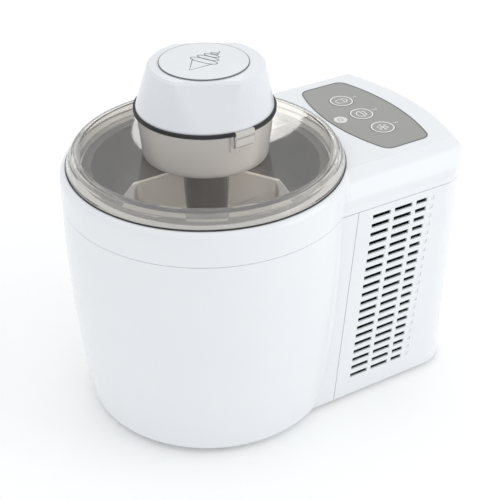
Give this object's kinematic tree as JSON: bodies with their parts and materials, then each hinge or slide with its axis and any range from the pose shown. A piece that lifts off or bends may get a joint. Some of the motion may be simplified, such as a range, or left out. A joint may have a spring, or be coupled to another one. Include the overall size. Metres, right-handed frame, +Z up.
{
  "type": "ice cream maker",
  "caption": "Small countertop ice cream maker: round drum with a removable bowl, clear lid with a motor unit, and a cooling housing with controls at one side.",
  "frame": {"origin": "centre of the footprint, on the surface the feet stand on", "axes": "+X from the drum to the housing, +Z up, +Y across, the controls read from the -Y side"},
  "size_m": [0.277, 0.196, 0.2559],
  "materials": {
    "white_plastic": "glossy moulded",
    "rubber": "matt",
    "steel": "plain",
    "dark_plastic": "fine grain",
    "panel_grey": "printed film",
    "circuit_board": "solder mask",
    "aluminium": "satin anodised",
    "foam": "expanded foam",
    "ceramic_white": "ceramic plate",
    "smoky_clear": "polished, smoky",
    "pale_plastic": "smooth"
  },
  "bodies": {
    "base": {"base_plate": "white_plastic", "rubber_feet": "rubber", "base_screws": "steel", "drum_shell": "white_plastic", "top_cover": "white_plastic", "side_panel_right": "white_plastic", "side_panel_left": "white_plastic", "rear_panel": "white_plastic", "cord_gland": "dark_plastic", "control_panel": "panel_grey", "control_board": "circuit_board", "tact_switches": "dark_plastic", "board_screws": "steel", "cooling_cup": "aluminium", "insulation_ring": "foam", "thermoelectric_modules": "ceramic_white", "heat_sink": "aluminium", "fan_frame": "dark_plastic", "air_guide": "dark_plastic", "power_board": "circuit_board", "power_parts": "dark_plastic"},
    "fan": {"fan_rotor": "dark_plastic"},
    "key_1": {"program_button_1": "panel_grey"},
    "key_2": {"program_button_2": "panel_grey"},
    "key_3": {"program_button_3": "panel_grey"},
    "key_start": {"start_button": "white_plastic"},
    "bowl": {"bowl": "aluminium"},
    "lid": {"lid": "smoky_clear"},
    "paddle": {"paddle_hub": "dark_plastic", "paddle": "pale_plastic"},
    "motor_unit": {"motor_gasket": "rubber", "motor_base": "white_plastic", "motor_cap": "white_plastic", "cap_badge": "white_plastic", "geared_motor": "steel", "motor_screws": "steel"},
    "shaft": {"output_shaft": "steel"},
    "latch_right": {"latch_tab_right": "white_plastic"},
    "latch_left": {"latch_tab_left": "white_plastic"}
  },
  "joints": [
    {"name": "bowl_lift", "type": "slide", "parent": "base", "child": "bowl", "axis": [0, 0, 1], "range_m": [0, 0.12]},
    {"name": "lid_lift", "type": "slide", "parent": "bowl", "child": "lid", "axis": [0, 0, 1], "range_m": [0, 0.12]},
    {"name": "motor_lift", "type": "slide", "parent": "lid", "child": "motor_unit", "axis": [0, 0, 1], "range_m": [0, 0.08]},
    {"name": "output_spin", "type": "hinge", "parent": "motor_unit", "child": "shaft", "pos_m": [-0.0405, 0, 0.19], "axis": [0, 0, 1], "continuous": true},
    {"name": "paddle_spin", "type": "hinge", "parent": "lid", "child": "paddle", "pos_m": [-0.0405, 0, 0.16], "axis": [0, 0, 1], "continuous": true},
    {"name": "fan_spin", "type": "hinge", "parent": "base", "child": "fan", "pos_m": [0.0135, 0, 0.05], "axis": [1, 0, 0], "continuous": true},
    {"name": "key_1_press", "type": "slide", "parent": "base", "child": "key_1", "axis": [0, 0, -1], "range_m": [0, 0.0005], "stiffness_N_per_m": 600},
    {"name": "key_2_press", "type": "slide", "parent": "base", "child": "key_2", "axis": [0, 0, -1], "range_m": [0, 0.0005], "stiffness_N_per_m": 600},
    {"name": "key_3_press", "type": "slide", "parent": "base", "child": "key_3", "axis": [0, 0, -1], "range_m": [0, 0.0005], "stiffness_N_per_m": 600},
    {"name": "key_start_press", "type": "slide", "parent": "base", "child": "key_start", "axis": [0, 0, -1], "range_m": [0, 0.0005], "stiffness_N_per_m": 600},
    {"name": "latch_right_press", "type": "slide", "parent": "motor_unit", "child": "latch_right", "axis": [-0.0523, 0.9986, 0], "range_m": [0, 0.0015], "stiffness_N_per_m": 800},
    {"name": "latch_left_press", "type": "slide", "parent": "motor_unit", "child": "latch_left", "axis": [0.0523, -0.9986, 0], "range_m": [0, 0.0015], "stiffness_N_per_m": 800}
  ],
  "couplings": [
    {"joint": "output_spin", "follows": "paddle_spin", "ratio": 1}
  ]
}
